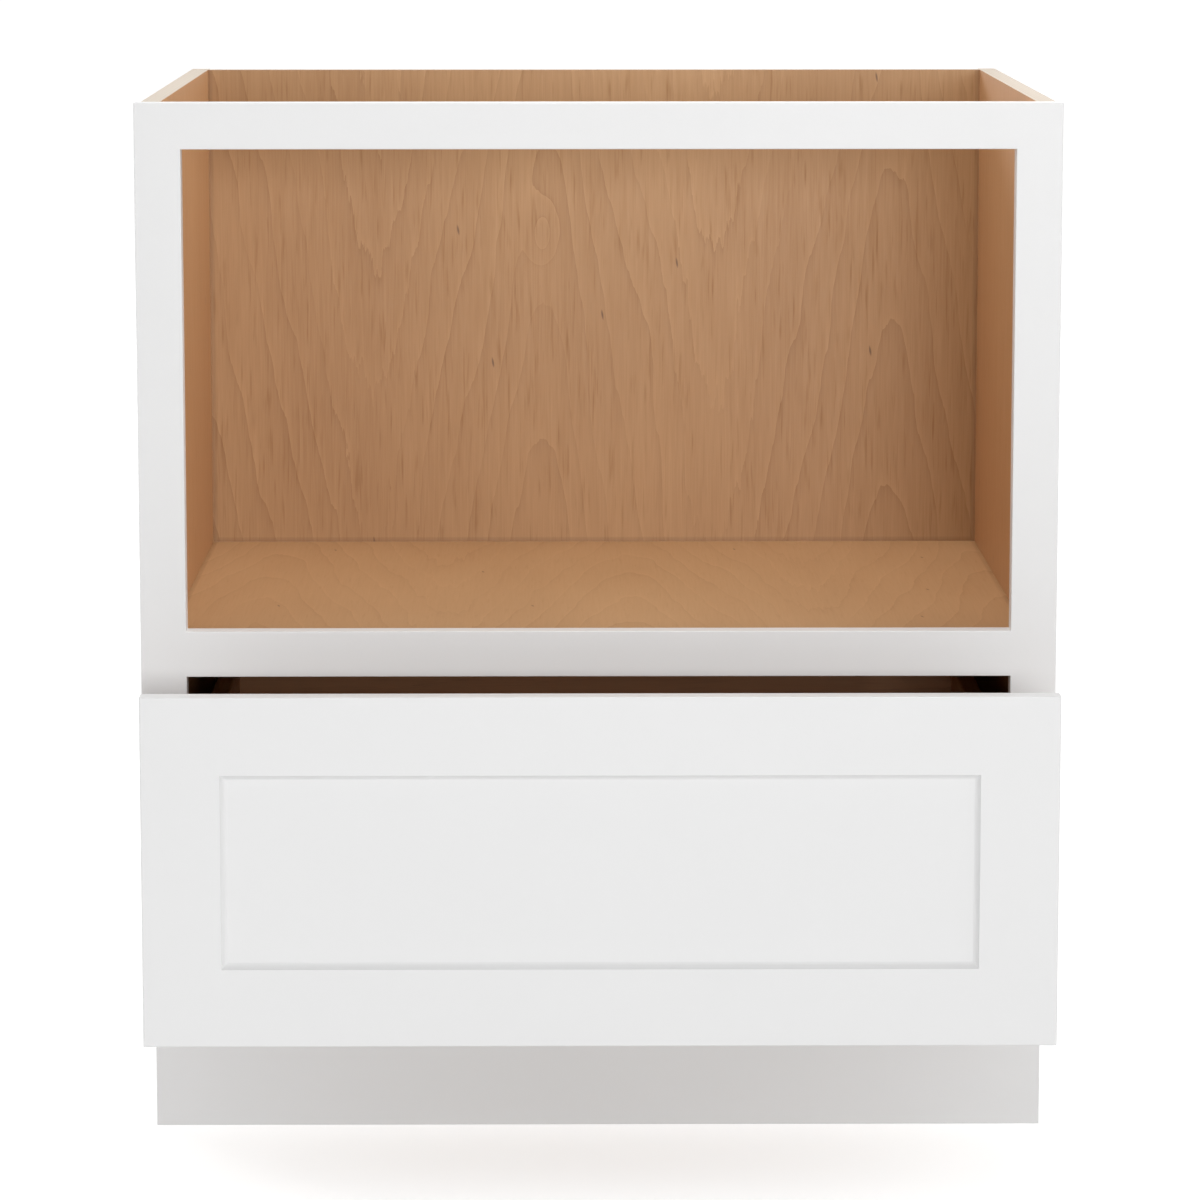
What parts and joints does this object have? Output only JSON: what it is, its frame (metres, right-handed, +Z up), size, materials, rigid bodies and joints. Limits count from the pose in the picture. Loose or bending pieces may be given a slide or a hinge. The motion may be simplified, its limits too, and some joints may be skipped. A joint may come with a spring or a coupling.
{
  "type": "microwave base cabinet",
  "caption": "Framed kitchen base cabinet with an open microwave compartment above one deep recessed-panel drawer on full-extension undermount runners, and a recessed toe kick.",
  "frame": {"origin": "on the floor, at the middle of the whole object's bounding box, with the drawer standing 155 mm open as it rests", "axes": "+Z up, the front with the drawer faces -Y, +X to the right of someone facing the front"},
  "size_m": [0.762, 0.7854, 0.8763],
  "materials": {
    "white_paint": "satin white paint on hardwood",
    "maple_plywood": "clear-coated natural maple veneer plywood",
    "solid_maple": "clear-coated solid maple",
    "plain_wood": "unfinished plywood",
    "zinc_steel": "zinc-plated rolled steel",
    "grey_plastic": "moulded grey plastic",
    "soft_bumper": "soft translucent urethane"
  },
  "bodies": {
    "cabinet": {"face_frame_left_stile": "white_paint", "face_frame_right_stile": "white_paint", "face_frame_top_rail": "white_paint", "face_frame_middle_rail": "white_paint", "face_frame_bottom_rail": "white_paint", "left_side_panel": "maple_plywood", "right_side_panel": "maple_plywood", "microwave_shelf": "maple_plywood", "bottom_panel": "maple_plywood", "back_panel": "maple_plywood", "upper_hanging_rail": "plain_wood", "lower_hanging_rail": "plain_wood", "toe_kick_board": "plain_wood", "toe_kick_skin": "white_paint", "left_corner_block": "plain_wood", "right_corner_block": "plain_wood", "left_corner_block_frame_screw": "zinc_steel", "left_corner_block_side_screw": "zinc_steel", "right_corner_block_frame_screw": "zinc_steel", "right_corner_block_side_screw": "zinc_steel", "left_runner_cabinet_rail": "zinc_steel", "right_runner_cabinet_rail": "zinc_steel", "left_runner_front_screw": "zinc_steel", "right_runner_front_screw": "zinc_steel", "left_runner_rear_bracket": "grey_plastic", "right_runner_rear_bracket": "grey_plastic", "left_rear_bracket_lower_screw": "zinc_steel", "left_rear_bracket_upper_screw": "zinc_steel", "right_rear_bracket_lower_screw": "zinc_steel", "right_rear_bracket_upper_screw": "zinc_steel"},
    "left_middle_runner": {"left_runner_middle_rail": "zinc_steel"},
    "right_middle_runner": {"right_runner_middle_rail": "zinc_steel"},
    "drawer": {"left_runner_drawer_rail": "zinc_steel", "right_runner_drawer_rail": "zinc_steel", "left_locking_clip": "grey_plastic", "right_locking_clip": "grey_plastic", "left_locking_clip_screw": "zinc_steel", "right_locking_clip_screw": "zinc_steel", "drawer_box_left_side": "solid_maple", "drawer_box_right_side": "solid_maple", "drawer_box_front": "solid_maple", "drawer_box_back": "solid_maple", "drawer_box_bottom": "maple_plywood", "drawer_front_left_stile": "white_paint", "drawer_front_right_stile": "white_paint", "drawer_front_top_rail": "white_paint", "drawer_front_bottom_rail": "white_paint", "drawer_front_centre_panel": "white_paint", "drawer_front_left_lower_screw": "zinc_steel", "drawer_front_left_upper_screw": "zinc_steel", "drawer_front_right_lower_screw": "zinc_steel", "drawer_front_right_upper_screw": "zinc_steel", "left_lower_bumper": "soft_bumper", "left_upper_bumper": "soft_bumper", "right_lower_bumper": "soft_bumper", "right_upper_bumper": "soft_bumper"}
  },
  "joints": [
    {"name": "drawer_slide", "type": "slide", "parent": "cabinet", "child": "drawer", "axis": [0, -1, 0], "range_m": [-0.155, 0.375]},
    {"name": "left_middle_slide", "type": "slide", "parent": "cabinet", "child": "left_middle_runner", "axis": [0, -1, 0], "range_m": [-0.0775, 0.1875]},
    {"name": "right_middle_slide", "type": "slide", "parent": "cabinet", "child": "right_middle_runner", "axis": [0, -1, 0], "range_m": [-0.0775, 0.1875]}
  ],
  "couplings": [
    {"joint": "left_middle_slide", "follows": "drawer_slide", "ratio": 0.5},
    {"joint": "right_middle_slide", "follows": "drawer_slide", "ratio": 0.5}
  ]
}
